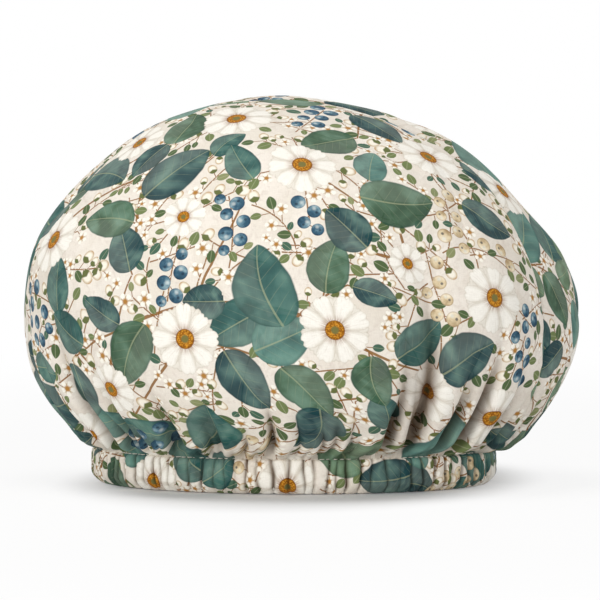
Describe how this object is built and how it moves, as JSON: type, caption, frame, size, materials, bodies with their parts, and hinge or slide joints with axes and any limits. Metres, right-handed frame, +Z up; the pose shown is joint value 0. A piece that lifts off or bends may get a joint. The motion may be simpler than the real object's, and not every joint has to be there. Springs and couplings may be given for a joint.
{
  "type": "scrub cap",
  "caption": "Bouffant cloth scrub cap: a wide domed crown of two printed panels, gathered into a narrow ruched band that holds elastic.",
  "frame": {"origin": "middle of the cap's outer box, on the surface that the band stands on", "axes": "+Z up through the crown's top, -Y towards the wearer's front, +X to the right in the picture"},
  "size_m": [0.2696, 0.2398, 0.188],
  "materials": {
    "print_cloth": "matte cream cotton with a green and white botanical print",
    "band_cloth": "matte ruched cream cotton with the same print",
    "elastic": "matte white braided elastic"
  },
  "bodies": {
    "root": {"crown_front": "print_cloth", "crown_back": "print_cloth", "band_casing": "band_cloth", "elastic_band": "elastic"}
  },
  "joints": []
}
